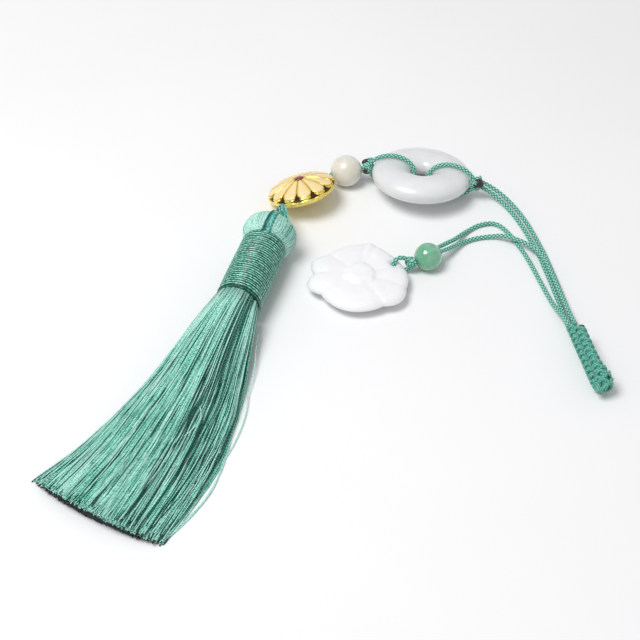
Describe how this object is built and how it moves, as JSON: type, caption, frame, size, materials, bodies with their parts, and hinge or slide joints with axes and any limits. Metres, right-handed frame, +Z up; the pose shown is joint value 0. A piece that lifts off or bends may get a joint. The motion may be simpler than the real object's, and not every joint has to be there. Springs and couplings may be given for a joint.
{
  "type": "tassel pendant",
  "caption": "Hanging pendant laid flat: silk tassel, gold flower bead, pearl, white jade ring, knotted cord loop, and a carved jade plaque on a green bead.",
  "frame": {"origin": "middle of the laid-out pendant's footprint without its free cords, on the surface it rests on", "axes": "+Z up from the surface; +X towards the hanging loop; -Y towards the tassel's cut end"},
  "size_m": [0.1552, 0.155, 0.0159],
  "materials": {
    "silk": "glossy two-ply silk thread, teal green, hanging loose",
    "binding_thread": "the same silk wound tight, with a bright sheen across the turns",
    "cord": "round braided nylon cord, teal green, ends melted dark",
    "gold_enamel": "polished gold plate with pale cream enamel in the petals",
    "pearl": "cream pearl with a soft lustre",
    "white_jade": "polished white jade, faintly cool, light sinking into it",
    "green_stone": "polished pale green stone, cloudy, half clear"
  },
  "bodies": {
    "root": {"tassel": "silk", "neck_binding": "binding_thread", "tassel_loop": "binding_thread", "flower_bead": "gold_enamel", "pearl": "pearl", "pearl_cord": "cord", "knot_left": "cord", "jade_ring": "white_jade", "ring_loop_left": "cord", "ring_loop_right": "cord", "knot_right": "cord", "cord_a1": "cord", "cord_a2": "cord", "cord_b1": "cord", "cord_b2": "cord", "braided_loop": "cord", "green_bead": "green_stone", "bead_knot": "cord", "plaque_loop": "cord", "jade_plaque": "white_jade"}
  },
  "joints": []
}
